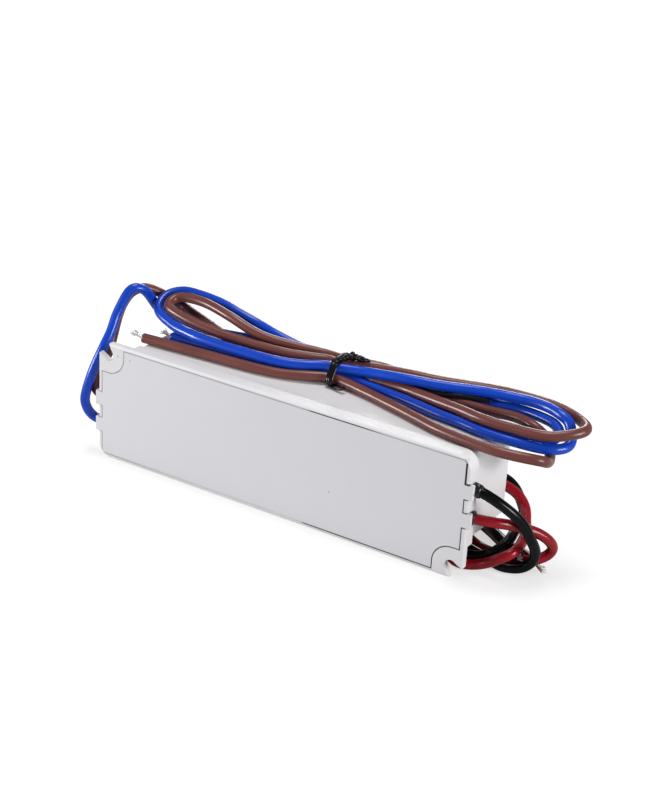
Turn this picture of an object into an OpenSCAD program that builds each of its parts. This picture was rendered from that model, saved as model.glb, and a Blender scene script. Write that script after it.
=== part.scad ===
// Waterproof power supply: a small potted switching supply in a white plastic case.
// Each piece is drawn lying on its cover, with the cover's outer face at z = 0 and the length along x.
// stand() then sets the unit on its long side, as it stands: cover towards -y, output leads towards +x.

/* [Case] */
// Length of the case over its skirt
case_l = 118; // [100:1:160]
// Width of the case over its skirt, which is its height as it stands
case_w = 35; // [33:0.5:40]
// Depth of the case from the cover's face to its back
case_d = 26; // [22:0.5:32]
// Corner radius of the skirt
skirt_r = 4; // [3:0.5:4]
// Depth of the skirt round the open side
skirt_d = 4.8; // [4.2:0.1:6]
// Step from the skirt in to each end wall
end_step = 1.8; // [1:0.1:2.2]
// Step from the skirt in to each long wall
side_step = 0.9; // [0.5:0.1:1.2]
// Wall thickness of the body
wall = 1.6; // [1.2:0.1:2]

/* [Mounting ears] */
// Thickness of each ear
ear_t = 2; // [1.6:0.1:2.6]
// Length of the screw pocket behind each ear
pocket_l = 11; // [10:0.5:13]
// Width of the screw pocket behind each ear
pocket_w = 9.3; // [8.9:0.1:10.5]
// Distance of the slot's centre from each edge of its corner
slot_in = 3.4; // [3.2:0.1:3.8]
// Width of the slot at its round end
slot_d = 3.6; // [3:0.1:4]
// Angle at which each side of the slot opens towards the corner
slot_flare = 17; // [5:1:20]
// Length of the flat round each slot
land_l = 8.9; // [8:0.1:9.5]
// Width of the flat round each slot
land_w = 8.8; // [8:0.1:9]

/* [Cover] */
// Thickness of the cover
cover_t = 1.2; // [1:0.1:1.5]
// Rim of the case left round the cover at each end
rim_end = 1.3; // [1:0.1:1.6]
// Rim of the case left round the cover at each side
rim_side = 1.05; // [0.8:0.05:1.3]
// Width of each tongue over a lead
tongue_w = 4.2; // [3.8:0.1:4.6]
// Overall length over the tongues
tongue_l = 120; // [119:0.5:121]

/* [Leads] */
// Outer diameter of each lead
lead_d = 2.8; // [2.2:0.1:2.8]
// Distance between the two leads at one end
lead_pitch = 8; // [7:0.5:9]
// Distance of their middle from the centre line
lead_shift = 3.9; // [3:0.1:4.5]

/* [Circuit board] */
// Thickness of the board
board_t = 1.6; // [1:0.1:1.6]
// Width of the board
board_w = 29.4; // [28:0.1:29.4]
// Length of the board
board_l = 110; // [106:0.5:110]

/* [Hidden] */
$fn = 48;

fit = 0.1;
through = 1;
cavity_l = case_l - 2 * (end_step + wall);
cavity_w = case_w - 2 * (side_step + wall);
cavity_top = case_d - 1.8;
slot_x = case_l / 2 - slot_in;
slot_y = case_w / 2 - slot_in;
lead_depth = cover_t + lead_d / 2 + fit;
lead_rows = [-lead_shift - lead_pitch / 2, -lead_shift + lead_pitch / 2];
board_z = cover_t + lead_d + 0.3;
parts_z = board_z + board_t;
ledge_xs = [-37.5, 0.5, 33.5];
fill_z = cover_t + 1;

// Turns the lying unit on to its long side, with its origin under the middle
module stand() translate([0, -case_d / 2, case_w / 2]) rotate([-90, 0, 0]) children();

// Draws what is at one end again at the other, turned half round
module each_end() {
    children();
    rotate([0, 0, 180]) children();
}

// Flat rectangle with round corners
module rounded(l, w, r) {
    square([l - 2 * r, w], center = true);
    square([l, w - 2 * r], center = true);
    for (i = [-1, 1], j = [-1, 1]) translate([i * (l / 2 - r), j * (w / 2 - r)]) circle(r);
}

// Half section of a slab's edge, round at its foot and at its head
module edge_section(w, h, foot, head) {
    translate([0, foot]) square([w, h - foot - head]);
    square([w - foot, foot]);
    translate([0, h - head]) square([w - head, head]);
    translate([w - foot, foot]) circle(foot);
    translate([w - head, h - head]) circle(head);
}

// Slab with round corners and round edges, built of runs that meet face to face
module soft_slab(l, w, h, r, foot, head) {
    run_l = l - 2 * r;
    run_w = w - 2 * r;
    translate([-run_l / 2, -run_w / 2, 0]) cube([run_l, run_w, h]);
    for (m = [0, 1]) {
        mirror([m, 0, 0]) translate([run_l / 2, run_w / 2, 0]) rotate([90, 0, 0])
            linear_extrude(run_w) edge_section(r, h, foot, head);
        mirror([0, m, 0]) translate([-run_l / 2, run_w / 2, 0]) rotate([90, 0, 90])
            linear_extrude(run_l) edge_section(r, h, foot, head);
        for (n = [0, 1]) mirror([m, 0, 0]) mirror([0, n, 0])
            translate([run_l / 2, run_w / 2, 0]) rotate_extrude(angle = 90) edge_section(r, h, foot, head);
    }
}

// Corner block from l by w back from the corner, with its inner corner round
module corner_block(l, w, r, over) {
    translate([case_l / 2 - l + r, case_w / 2 - w]) square([l - r + over, w + over]);
    translate([case_l / 2 - l, case_w / 2 - w + r]) square([l + over, w - r + over]);
    translate([case_l / 2 - l + r, case_w / 2 - w + r]) circle(r);
}

// Outline of a slot: a round end that opens towards its corner. The straight sides cut into the round end
// by a little, because sides that only touch it would leave hairline edges
module slot_outline() {
    cut_in = 0.05;
    side_r = slot_d / 2 - cut_in;
    back = -side_r * sin(slot_flare);
    reach = 8;
    half = function(a) side_r / cos(slot_flare) + a * tan(slot_flare);
    translate([slot_x, slot_y]) rotate(45) {
        circle(slot_d / 2);
        polygon([[back, -half(back)], [reach, -half(reach)], [reach, half(reach)], [back, half(back)]]);
    }
}

// Outline of the cover, grown by gap all round
module cover_outline(gap) {
    difference() {
        union() {
            rounded(case_l - 2 * (rim_end - gap), case_w - 2 * (rim_side - gap), 1);
            each_end_flat() for (y = lead_rows)
                translate([tongue_l / 4, y]) square([tongue_l / 2 + 2 * gap, tongue_w + 2 * gap], center = true);
        }
        each_end_flat() corner_block(land_l - gap, land_w - gap, 5.5 - gap, through);
    }
}

module each_end_flat() {
    children();
    rotate(180) children();
}

// Notch for one lead, from the open side down to its round floor
module lead_notch(r) {
    rotate([0, 90, 0]) cylinder(h = 6, r = r);
    translate([0, -r, -lead_depth - through]) cube([6, 2 * r, lead_depth + through]);
}

// Space inside the walls, less the two pocket walls
module cavity_outline(gap) {
    difference() {
        rounded(cavity_l - 2 * gap, cavity_w - 2 * gap, 1.5);
        each_end_flat() corner_block(pocket_l + wall + gap, pocket_w + wall + gap, 4 + wall, through);
    }
}

// Posts on the long walls that the board rests on
module ledges() {
    each_end() for (x = ledge_xs)
        translate([x - 1, cavity_w / 2 - 1.4, parts_z]) cube([2, 2, cavity_top - parts_z + 0.5]);
}

module case_shell() {
    difference() {
        union() {
            soft_slab(case_l, case_w, skirt_d, skirt_r, 0.6, 0.6);
            translate([0, 0, skirt_d - 1.2])
                soft_slab(case_l - 2 * end_step, case_w - 2 * side_step, case_d - skirt_d + 1.2, 3, 0.3, 1.4);
        }
        translate([0, 0, -through]) linear_extrude(cover_t + through) cover_outline(fit);
        translate([0, 0, cover_t - 0.5]) linear_extrude(cavity_top - cover_t + 0.5) cavity_outline(0);
        each_end() {
            translate([0, 0, ear_t]) linear_extrude(case_d) corner_block(pocket_l, pocket_w, 4, through);
            translate([0, 0, -through]) linear_extrude(ear_t + 2 * through) slot_outline();
            for (y = lead_rows) translate([cavity_l / 2 - 1, y, lead_depth]) lead_notch(tongue_w / 2 - 0.1);
        }
    }
    ledges();
}

module case() color("white") stand() case_shell();

// Plate that closes the open side, with a low rim that keeps it central
module cover_plate() {
    linear_extrude(cover_t) cover_outline(0);
    rim_h = 0.8;
    translate([0, 0, cover_t]) linear_extrude(rim_h) difference() {
        cavity_outline(0.2);
        cavity_outline(1.2);
        each_end_flat() for (y = lead_rows) translate([case_l / 2, y]) square([30, tongue_w], center = true);
    }
}

module cover() color("gainsboro") stand() cover_plate();

// Where each component stands on the board, input end at the left
fuse_at = [-42, 9.8];
varistor_at = [-41.5, -0.8];
thermistor_at = [-41.5, -10];
filter_at = [-28.5, 9.5];
choke_at = [-28, -5];
bridge_at = [-14, 8];
bulk_at = [-4, -6.8];
controller_at = [-1, 8];
supply_at = [8, 12];
clamp_at = [8.2, 3];
transformer_at = [21.5, -1];
safety_at = [21.5, 12.6];
opto_at = [36, 7];
reference_at = [42, 8];
rectifier_at = [34.5, -8];
output_caps_at = [[42.5, -9.8], [42.5, -1.2]];
output_choke_at = [51.5, -3.9];
terminal_x = 50.5;
pin_r = 0.35;
pin_hole_r = 0.5;
seat = 0.05;

// Pin positions of each component
function pair(at, pitch, turn = 0) = [for (s = [-1, 1]) at + s * pitch / 2 * [cos(turn), sin(turn)]];
function block(at, nx, ny, px, py) = [for (i = [0:nx - 1], j = [0:ny - 1])
    at + [(i - (nx - 1) / 2) * px, (j - (ny - 1) / 2) * py]];
fuse_pins = pair(fuse_at, 5, 90);
varistor_pins = pair(varistor_at, 5, 90);
thermistor_pins = pair(thermistor_at, 5, 90);
filter_pins = pair(filter_at, 10);
choke_pins = block(choke_at, 2, 2, 10, 8);
bridge_pins = block(bridge_at, 2, 2, 5, 7.6);
bulk_pins = pair(bulk_at + [11.5, 0], 5, 90);
controller_pins = block(controller_at, 4, 2, 2.54, 7.6);
supply_pins = pair(supply_at, 2);
clamp_pins = pair(clamp_at, 10, 90);
transformer_pins = block(transformer_at, 2, 4, 17, 4);
safety_pins = pair(safety_at, 5);
opto_pins = block(opto_at, 2, 2, 2.54, 7.6);
reference_pins = pair(reference_at, 2.5, 90);
rectifier_pins = pair(rectifier_at, 5, 90);
output_cap_pins = [for (at = output_caps_at) each pair(at, 3.5, 90)];
output_choke_pins = pair(output_choke_at, 3, 90);

all_pins = concat(fuse_pins, varistor_pins, thermistor_pins, filter_pins, choke_pins, bridge_pins,
    bulk_pins, controller_pins, supply_pins, clamp_pins, transformer_pins, safety_pins, opto_pins,
    reference_pins, rectifier_pins, output_cap_pins, output_choke_pins);

// Straight pins that pass through the board and end up above it
module pins(list, up = 0.5) {
    for (p = list) translate([p.x, p.y, board_z - 1]) cylinder(h = board_t + 1 + up, r = pin_r);
}

module board_plate() {
    difference() {
        translate([0, 0, board_z]) linear_extrude(board_t) difference() {
            rounded(board_l, board_w, 1);
            each_end_flat() corner_block(pocket_l + wall + 0.5, pocket_w + wall + 0.5, 1, through);
        }
        for (p = all_pins) translate([p.x, p.y, board_z - through])
            cylinder(h = board_t + 2 * through, r = pin_hole_r);
        each_end() for (y = lead_rows) translate([terminal_x, y, board_z - through])
            cylinder(h = board_t + 2 * through, r = 0.8);
    }
}

module circuit_board() color("darkgreen") stand() board_plate();

// Places a body on the board's upper face
module on_board(at, up = 0) translate([at.x, at.y, parts_z + up]) children();

// Upright block of the given length, width and height, grown by g
module upright(l, w, h, g = 0) translate([-l / 2 - g, -w / 2 - g, 0]) cube([l + 2 * g, w + 2 * g, h + g]);

// Upright disc with a rounded rim, as a dipped ceramic part has, its flat sides across x
module dipped_disc(d, t) {
    rim = t / 2;
    translate([-t / 2, 0, d / 2 + 1]) rotate([0, 90, 0]) rotate_extrude() {
        square([d / 2 - rim, t]);
        translate([d / 2 - rim, rim]) circle(rim);
    }
}

// Plain round space that such a part takes in the compound
module disc_space(d, t) translate([-t / 2 - seat, 0, d / 2 + 1]) rotate([0, 90, 0])
    cylinder(h = t + 2 * seat, r = d / 2 + seat);

fuse_r = 4.2;
fuse_h = 8;
module fuse_body(g = 0) on_board(fuse_at) {
    cylinder(h = fuse_h + g, r = fuse_r + g);
}
module fuse() color("saddlebrown") stand() {
    difference() {
        fuse_body();
        on_board(fuse_at, fuse_h - 0.4) cylinder(h = 1, r = fuse_r - 1);
    }
    pins(fuse_pins);
}

varistor_d = 9;
disc_t = 4;
module varistor_body() on_board(varistor_at) dipped_disc(varistor_d, disc_t);
module surge_varistor() color("royalblue") stand() {
    varistor_body();
    pins(varistor_pins, 3);
}

thermistor_d = 8;
module thermistor_body() on_board(thermistor_at) dipped_disc(thermistor_d, disc_t);
module inrush_thermistor() color("darkslategray") stand() {
    thermistor_body();
    pins(thermistor_pins, 3);
}

filter_size = [13, 6, 12];
module filter_body(g = 0) on_board(filter_at) upright(filter_size.x, filter_size.y, filter_size.z, g);
module filter_capacitor() color("gold") stand() {
    difference() {
        filter_body();
        on_board(filter_at) translate([-filter_size.x / 2 + 1, -filter_size.y / 2 + 1, -through])
            cube([filter_size.x - 2, filter_size.y - 2, 0.5 + through]);
    }
    pins(filter_pins, 1);
}

// Common mode choke: a closed core whose two long legs each carry a winding on a bobbin
choke_size = [14, 4, 15];
choke_leg = 3;
choke_leg_y = 3.6;
choke_base = 1.6;
module choke_loop() {
    rotate([90, 0, 0]) translate([0, 0, -choke_size.y / 2]) linear_extrude(choke_size.y) difference() {
        rounded(choke_size.x, choke_size.z - choke_base - 1, 1.5);
        rounded(choke_size.x - 2 * choke_leg, choke_size.z - choke_base - 1 - 2 * choke_leg, 0.8);
    }
}
choke_mid = choke_base + (choke_size.z - choke_base - 1) / 2;
module choke_core() color("dimgray") stand() on_board(choke_at, choke_mid) choke_loop();
choke_turn_r = 3.2;
choke_winding_h = choke_size.z - choke_base - 1 - 2 * choke_leg;
choke_leg_x = choke_size.x / 2 - choke_leg / 2;
module choke_tube(r, h, hole) difference() {
    cylinder(h = h, r = r, center = true);
    cube([choke_leg + hole, choke_size.y + hole, h + 2 * through], center = true);
}
module choke_bobbin() color("black") stand() {
    on_board(choke_at) difference() {
        upright(choke_size.x + 6, 10, choke_base);
        for (s = [-1, 1]) translate([s * 8.4, 0, -through]) cylinder(h = 4, r = 0.9);
    }
    pins(choke_pins, 0);
}
module choke_windings() color("peru") stand() on_board(choke_at, choke_mid) for (s = [-1, 1])
    translate([s * choke_leg_x, 0, 0]) choke_tube(choke_turn_r, choke_winding_h - 1.8, 0.1);

bridge_size = [8.4, 6.4, 3.2];
module bridge_body(g = 0) on_board(bridge_at, 0.6) upright(bridge_size.x, bridge_size.y, bridge_size.z, g);
module bridge_rectifier() color("black") stand() {
    difference() {
        bridge_body();
        on_board(bridge_at, 0.6) translate([-bridge_size.x / 2, -bridge_size.y / 2, 0])
            rotate([0, 0, 45]) cube([1.4, 1.4, 20], center = true);
    }
    pins(bridge_pins, 2);
    for (p = bridge_pins) translate([p.x, (p.y + bridge_at.y) / 2, parts_z + 2])
        cube([0.7, abs(p.y - bridge_at.y) + 0.5, 0.3], center = true);
}

// Reservoir capacitor lying on the board, a can with a rolled groove in a shrunk sleeve
bulk_d = 13;
bulk_l = 20;
bulk_z = parts_z + bulk_d / 2;
module bulk_body(g = 0) translate([bulk_at.x - bulk_l / 2 - g, bulk_at.y, bulk_z]) rotate([0, 90, 0])
    cylinder(h = bulk_l + 2 * g, r = bulk_d / 2 + g);
sleeve_t = 0.15;
groove_x = 2.6;
module bulk_capacitor() color("lightgray") stand() {
    translate([bulk_at.x - bulk_l / 2, bulk_at.y, bulk_z]) rotate([0, 90, 0]) difference() {
        cylinder(h = bulk_l, r = bulk_d / 2 - sleeve_t);
        translate([0, 0, bulk_l - groove_x]) rotate_extrude() translate([bulk_d / 2 - sleeve_t, 0]) circle(0.6);
        for (turn = [0, 90]) rotate(turn) translate([-4, -0.25, -through]) cube([8, 0.5, 0.2 + through]);
    }
    for (p = bulk_pins) {
        translate([p.x, p.y, board_z - 1]) cylinder(h = bulk_z - board_z + 1, r = pin_r);
        translate([bulk_at.x + bulk_l / 2 - 0.2, p.y, bulk_z]) rotate([0, 90, 0])
            cylinder(h = p.x - bulk_at.x - bulk_l / 2 + 0.2 + pin_r, r = pin_r);
    }
}
module bulk_capacitor_sleeve() color("midnightblue") stand()
    translate([bulk_at.x - bulk_l / 2, bulk_at.y, bulk_z]) rotate([0, 90, 0]) difference() {
        cylinder(h = bulk_l - groove_x - 0.7, r = bulk_d / 2);
        translate([0, 0, -through]) cylinder(h = bulk_l + 2 * through, r = bulk_d / 2 - sleeve_t);
    }

// Flat chip package with its legs bent down through the board
module chip(at, size, legs) {
    difference() {
        on_board(at, 0.5) upright(size.x, size.y, size.z);
        on_board(at, 0.5 + size.z - 0.3) translate([-size.x / 2 + 1, 0, 0]) cylinder(h = 1, r = 0.5);
    }
    pins(legs, 2.2);
    for (p = legs) translate([p.x, (p.y + at.y) / 2, parts_z + 2.1])
        cube([0.7, abs(p.y - at.y) + 0.5, 0.25], center = true);
}
controller_size = [9.2, 6.4, 3.3];
module switching_controller() color("black") stand() chip(controller_at, controller_size, controller_pins);
opto_size = [4.6, 6.4, 3.5];
module optocoupler() color("ivory") stand() chip(opto_at, opto_size, opto_pins);

// Upright electrolytic can with the groove near its foot and the scored top
module upright_can(at, d, h) {
    on_board(at) difference() {
        cylinder(h = h, r = d / 2);
        translate([0, 0, 1.8]) rotate_extrude() translate([d / 2, 0]) circle(0.4);
        for (turn = [0, 90]) rotate(turn) translate([-d / 3, -0.2, h - 0.2]) cube([2 * d / 3, 0.4, 1]);
    }
}
supply_d = 5;
supply_h = 11;
module supply_body(g = 0) on_board(supply_at) cylinder(h = supply_h + g, r = supply_d / 2 + g);
module supply_capacitor() color("midnightblue") stand() {
    upright_can(supply_at, supply_d, supply_h);
    pins(supply_pins);
}
output_cap_d = 8;
output_cap_h = 15;
module output_cap_bodies(g = 0) for (at = output_caps_at) on_board(at)
    cylinder(h = output_cap_h + g, r = output_cap_d / 2 + g);
module output_capacitors() color("midnightblue") stand() {
    for (at = output_caps_at) upright_can(at, output_cap_d, output_cap_h);
    pins(output_cap_pins);
}

// Power resistor lying across the board, swollen at both ends where its caps are
clamp_d = 3.4;
clamp_l = 8;
clamp_z = parts_z + clamp_d / 2 + 0.2;
module clamp_body(g = 0) translate([clamp_at.x, clamp_at.y - clamp_l / 2 - g, clamp_z]) rotate([-90, 0, 0])
    cylinder(h = clamp_l + 2 * g, r = clamp_d / 2 + g);
module clamp_resistor() color("slategray") stand() {
    translate([clamp_at.x, clamp_at.y - clamp_l / 2, clamp_z]) rotate([-90, 0, 0]) {
        for (z = [0, clamp_l - 1.6]) translate([0, 0, z]) cylinder(h = 1.6, r = clamp_d / 2);
        cylinder(h = clamp_l, r = clamp_d / 2 - 0.25);
    }
    for (p = clamp_pins) {
        translate([p.x, p.y, board_z - 1]) cylinder(h = clamp_z - board_z + 1, r = pin_r);
        translate([p.x, (p.y + clamp_at.y) / 2, clamp_z]) rotate([90, 0, 0])
            cylinder(h = abs(p.y - clamp_at.y), r = pin_r, center = true);
    }
}

// Transformer: an E core in two halves round a bobbin that carries the windings
trafo_l = 20;
trafo_w = 20;
trafo_h = 15;
trafo_leg = 5;
trafo_base = 2;
trafo_depth = 6;
module transformer_body(g = 0) on_board(transformer_at) upright(trafo_l, trafo_w, trafo_base + trafo_h, g);
module trafo_window() for (s = [-1, 1])
    translate([s * (trafo_leg / 2 + 2.3), 0]) square([4.6, trafo_h - 6.4], center = true);
module transformer_core() color("dimgray") stand()
    on_board(transformer_at, trafo_base + trafo_h / 2) rotate([90, 0, 90]) translate([0, 0, -trafo_depth / 2])
        linear_extrude(trafo_depth) difference() {
            square([trafo_w, trafo_h], center = true);
            trafo_window();
        }
trafo_window_h = trafo_h - 6.4;
module trafo_ring(l, w, h, r, hole_x, hole_y) linear_extrude(h, center = true) difference() {
    rounded(l, w, r);
    square([hole_x, hole_y], center = true);
}
bobbin_t = 0.8;
winding_out = 4.4;
module transformer_bobbin() color("black") stand() {
    on_board(transformer_at, trafo_base + trafo_h / 2) {
        trafo_ring(trafo_depth + 2 * bobbin_t, trafo_leg + 2 * bobbin_t, trafo_window_h - 0.2, 0.5,
            trafo_depth + fit, trafo_leg + fit);
        for (s = [-1, 1]) translate([0, 0, s * (trafo_window_h / 2 - 0.1 - bobbin_t / 2)])
            trafo_ring(trafo_depth + 2 * winding_out, trafo_leg + 2 * winding_out, bobbin_t, 1,
                trafo_depth + fit, trafo_leg + fit);
    }
    on_board(transformer_at) {
        upright(trafo_l, trafo_leg * 3, trafo_base);
        for (s = [-1, 1]) translate([s * (trafo_depth / 2 + 2.6), 0, 0])
            upright(3.6, 9, trafo_base + (trafo_h - trafo_window_h) / 2 + 0.5);
        for (s = [-1, 1]) translate([s * (trafo_l / 2 - 1.5), 0, 0]) difference() {
            upright(3, trafo_leg * 3, trafo_base + 1.6);
            translate([0, 0, trafo_base + 1.2]) rotate([90, 0, 0]) cylinder(h = 40, r = 0.5, center = true);
        }
    }
    pins(transformer_pins, 0);
}
module transformer_windings() color("goldenrod") stand() on_board(transformer_at, trafo_base + trafo_h / 2)
    trafo_ring(trafo_depth + 2 * winding_out - 1, trafo_leg + 2 * winding_out - 1,
        trafo_window_h - 2 * bobbin_t - 0.4, 2, trafo_depth + 2 * bobbin_t + fit, trafo_leg + 2 * bobbin_t + fit);

safety_d = 8;
safety_t = 3.4;
module safety_capacitor() color("dodgerblue") stand() {
    on_board(safety_at) rotate(90) dipped_disc(safety_d, safety_t);
    pins(safety_pins, 3.5);
}

// Small three-legged regulator, a cylinder cut flat on one side
reference_r = 2.3;
reference_h = 4.6;
module reference_body(g = 0) on_board(reference_at, 1) difference() {
    cylinder(h = reference_h + g, r = reference_r + g);
    translate([0.9 + g, -5, -through]) cube([5, 10, 10]);
}
module voltage_reference() color("black") stand() {
    reference_body();
    pins(reference_pins, 1.5);
}

// Output rectifier standing on its legs, with its metal tab drilled
rectifier_size = [4.5, 10, 9];
tab_t = 1.3;
module rectifier_body(g = 0) on_board(rectifier_at, 1)
    upright(rectifier_size.x, rectifier_size.y, rectifier_size.z + 6, g);
module output_rectifier() color("dimgray") stand() {
    on_board(rectifier_at, 1) {
        upright(rectifier_size.x, rectifier_size.y, rectifier_size.z);
        translate([-rectifier_size.x / 2, -rectifier_size.y / 2, 0]) difference() {
            cube([tab_t, rectifier_size.y, rectifier_size.z + 6]);
            translate([-through, rectifier_size.y / 2, rectifier_size.z + 3]) rotate([0, 90, 0])
                cylinder(h = tab_t + 2 * through, r = 1.8);
        }
    }
    pins(rectifier_pins, 1.5);
}

// Output choke: a ferrite bobbin wound with one coil
output_choke_h = 9;
output_choke_r = 3;
module output_choke_body(g = 0) on_board(output_choke_at) cylinder(h = output_choke_h + g, r = output_choke_r + g);
module output_choke() color("dimgray") stand() {
    on_board(output_choke_at) {
        for (z = [0, output_choke_h - 1.2]) translate([0, 0, z]) cylinder(h = 1.2, r = output_choke_r);
        cylinder(h = output_choke_h, r = output_choke_r - 0.5);
    }
    pins(output_choke_pins);
}

// Bared inner end of each lead, bent up through the board
terminal_r = 0.6;
bend_r = 1;
insulated_x = 52.6;
module lead_terminals() color("silver") stand() each_end() for (y = lead_rows) translate([0, y, 0]) {
    translate([terminal_x + bend_r, 0, lead_depth]) rotate([0, 90, 0])
        cylinder(h = insulated_x - terminal_x - bend_r, r = terminal_r);
    translate([terminal_x + bend_r, 0, lead_depth + bend_r]) rotate([90, 0, 0])
        rotate(180) rotate_extrude(angle = 90) translate([bend_r, 0]) circle(terminal_r);
    translate([terminal_x, 0, lead_depth + bend_r]) cylinder(h = parts_z - lead_depth - bend_r + 0.8, r = terminal_r);
}

// Compound that fills each notch round its lead and swells out of it a little
sealant_out = 0.5;
module exit_sealant() color("black") stand() each_end() for (y = lead_rows)
    translate([cavity_l / 2, y, lead_depth]) difference() {
        r = tongue_w / 2 - 0.15;
        l = case_l / 2 - cavity_l / 2 + sealant_out;
        union() {
            rotate([0, 90, 0]) cylinder(h = l, r = r);
            translate([0, -r, -lead_depth + cover_t]) cube([l, 2 * r, lead_depth - cover_t]);
        }
        translate([-through, 0, 0]) rotate([0, 90, 0]) cylinder(h = 8, r = lead_d / 2 + 0.03);
        translate([-through, -r - 1, -lead_depth]) cube([8, 2 * r + 2, cover_t + 0.02]);
    }

// Compound poured in over the whole board, with the spaces that the pieces in it take
module potting_compound() color("darkslategray") stand() difference() {
    translate([0, 0, fill_z]) linear_extrude(cavity_top - fill_z) cavity_outline(seat);
    translate([0, 0, board_z + board_t / 2]) cube([case_l, case_w, board_t + 2 * seat], center = true);
    fuse_body(seat);
    on_board(varistor_at) disc_space(varistor_d, disc_t);
    on_board(thermistor_at) disc_space(thermistor_d, disc_t);
    filter_body(seat);
    on_board(choke_at) upright(choke_size.x + 6, 10, choke_size.z, seat);
    bridge_body(seat);
    on_board(bridge_at) upright(6, 8.8, 2.8, seat);
    bulk_body(seat);
    translate([bulk_pins[0].x - 1.6, bulk_at.y - 3, parts_z]) cube([2.2, 6, bulk_d / 2 + 1]);
    for (c = [[controller_at, controller_size], [opto_at, opto_size]]) {
        on_board(c[0]) upright(c[1].x, c[1].y, c[1].z + 0.6, seat);
        on_board(c[0]) upright(c[1].x, 8.8, 2.6, seat);
    }
    supply_body(seat);
    clamp_body(seat);
    for (p = clamp_pins) translate([p.x - 0.5, p.y - 1, parts_z]) cube([1, 2, 3]);
    transformer_body(seat);
    on_board(safety_at) rotate(90) disc_space(safety_d, safety_t);
    reference_body(seat);
    rectifier_body(seat);
    output_cap_bodies(seat);
    output_choke_body(seat);
    for (p = concat(fuse_pins, varistor_pins, thermistor_pins, filter_pins, supply_pins, safety_pins,
        reference_pins, rectifier_pins, output_cap_pins, output_choke_pins, choke_pins, bridge_pins,
        bulk_pins, controller_pins, clamp_pins, transformer_pins, opto_pins))
        translate([p.x, p.y, board_z - 1.1]) cylinder(h = board_t + 5.2, r = pin_r + seat);
    each_end() {
        for (x = ledge_xs) translate([x - 1 - seat, cavity_w / 2 - 1.4 - seat, parts_z]) cube([2 + 2 * seat, 3, 30]);
        for (y = lead_rows) translate([terminal_x - 1, y - lead_d / 2 - seat, fill_z - through])
            cube([8, lead_d + 2 * seat, board_z - fill_z + through + 0.1]);
        for (y = lead_rows) translate([terminal_x, y, board_z]) cylinder(h = board_t + 1, r = terminal_r + seat);
    }
}

// Route of each lead's middle as the unit stands, from its notch to its cut end
blue_route = [[-53.5, -10.3, 9.6], [-57, -10.3, 9.6], [-60.4, -10.3, 9.5], [-62.6, -10.7, 9.9],
    [-64, -11.6, 11.9], [-64.4, -12.4, 14.6], [-64, -12.6, 17.4], [-62.5, -11.6, 23.8], [-60.9, -9.2, 30.3],
    [-60.3, -6, 35.1], [-60.4, -3, 39.8], [-58.9, 0.6, 45.8], [-57.2, 2.8, 46.3], [-56.3, 5.2, 44.5],
    [-55.5, 9.8, 38.4], [-53.2, 12, 36.4], [-48, 12.3, 35.8], [-38, 10.6, 36], [-27, 9.8, 37.2],
    [-17, 11.4, 38.2], [-10, 12.6, 37], [-4, 13.1, 35.9], [7, 13.5, 35.9], [14, 13.4, 35.6], [21, 13, 35.5],
    [31.8, 10.5, 35.5], [45.8, 6.3, 35.5], [52, 4.9, 35.5], [60, 4.5, 35.5], [70, 5.4, 36.2],
    [72, 7.8, 37.2], [71, 10.2, 38], [67.5, 12.2, 38.5], [58.7, 14.6, 38], [49.5, 14.2, 37.5],
    [38, 14.6, 37], [31, 16.2, 36.8], [25, 17.2, 36.2], [14, 16.5, 35.7], [7, 16.4, 35.9], [-4, 16, 35.9],
    [-11, 15.4, 36.9], [-18.4, 14.2, 39], [-24, 12.6, 41.5], [-29.5, 12.3, 43], [-35, 13, 44],
    [-43, 13.5, 44.4], [-49.4, 13, 44.3], [-52.9, 9.6, 43], [-51.6, 4.5, 40.6], [-44.3, 1.6, 38.8],
    [-38, 0.2, 38.5], [-32, -0.5, 38.3], [-16.8, 0, 38.1], [-9, 0.8, 38], [-2.5, 2.9, 38], [2.9, 5.6, 38.4],
    [7, 6.5, 38.5], [14.8, 8.5, 38.7], [26, 9.1, 39.8], [36, 10.9, 40], [45.8, 13.2, 40.5],
    [52.9, 13.9, 41], [60.3, 14.6, 41.2], [66, 13.9, 41.3], [70.6, 12.2, 41], [73.4, 11.4, 39.6],
    [75.5, 7.9, 35.8], [72, 2.9, 35.5], [62, 1.4, 35.5], [53.6, 1.6, 35.5], [47, 2.8, 35.5],
    [40.5, 3.5, 35.5], [28.3, 5.8, 35.5], [19, 7, 35.5], [7, 7.8, 35.9], [0, 6.2, 35.7], [-8, 3.5, 35.5],
    [-18, 2, 35.5], [-28, 1.4, 35.5], [-37, 1.2, 35.5], [-43.9, 0.9, 35.5]];
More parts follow.
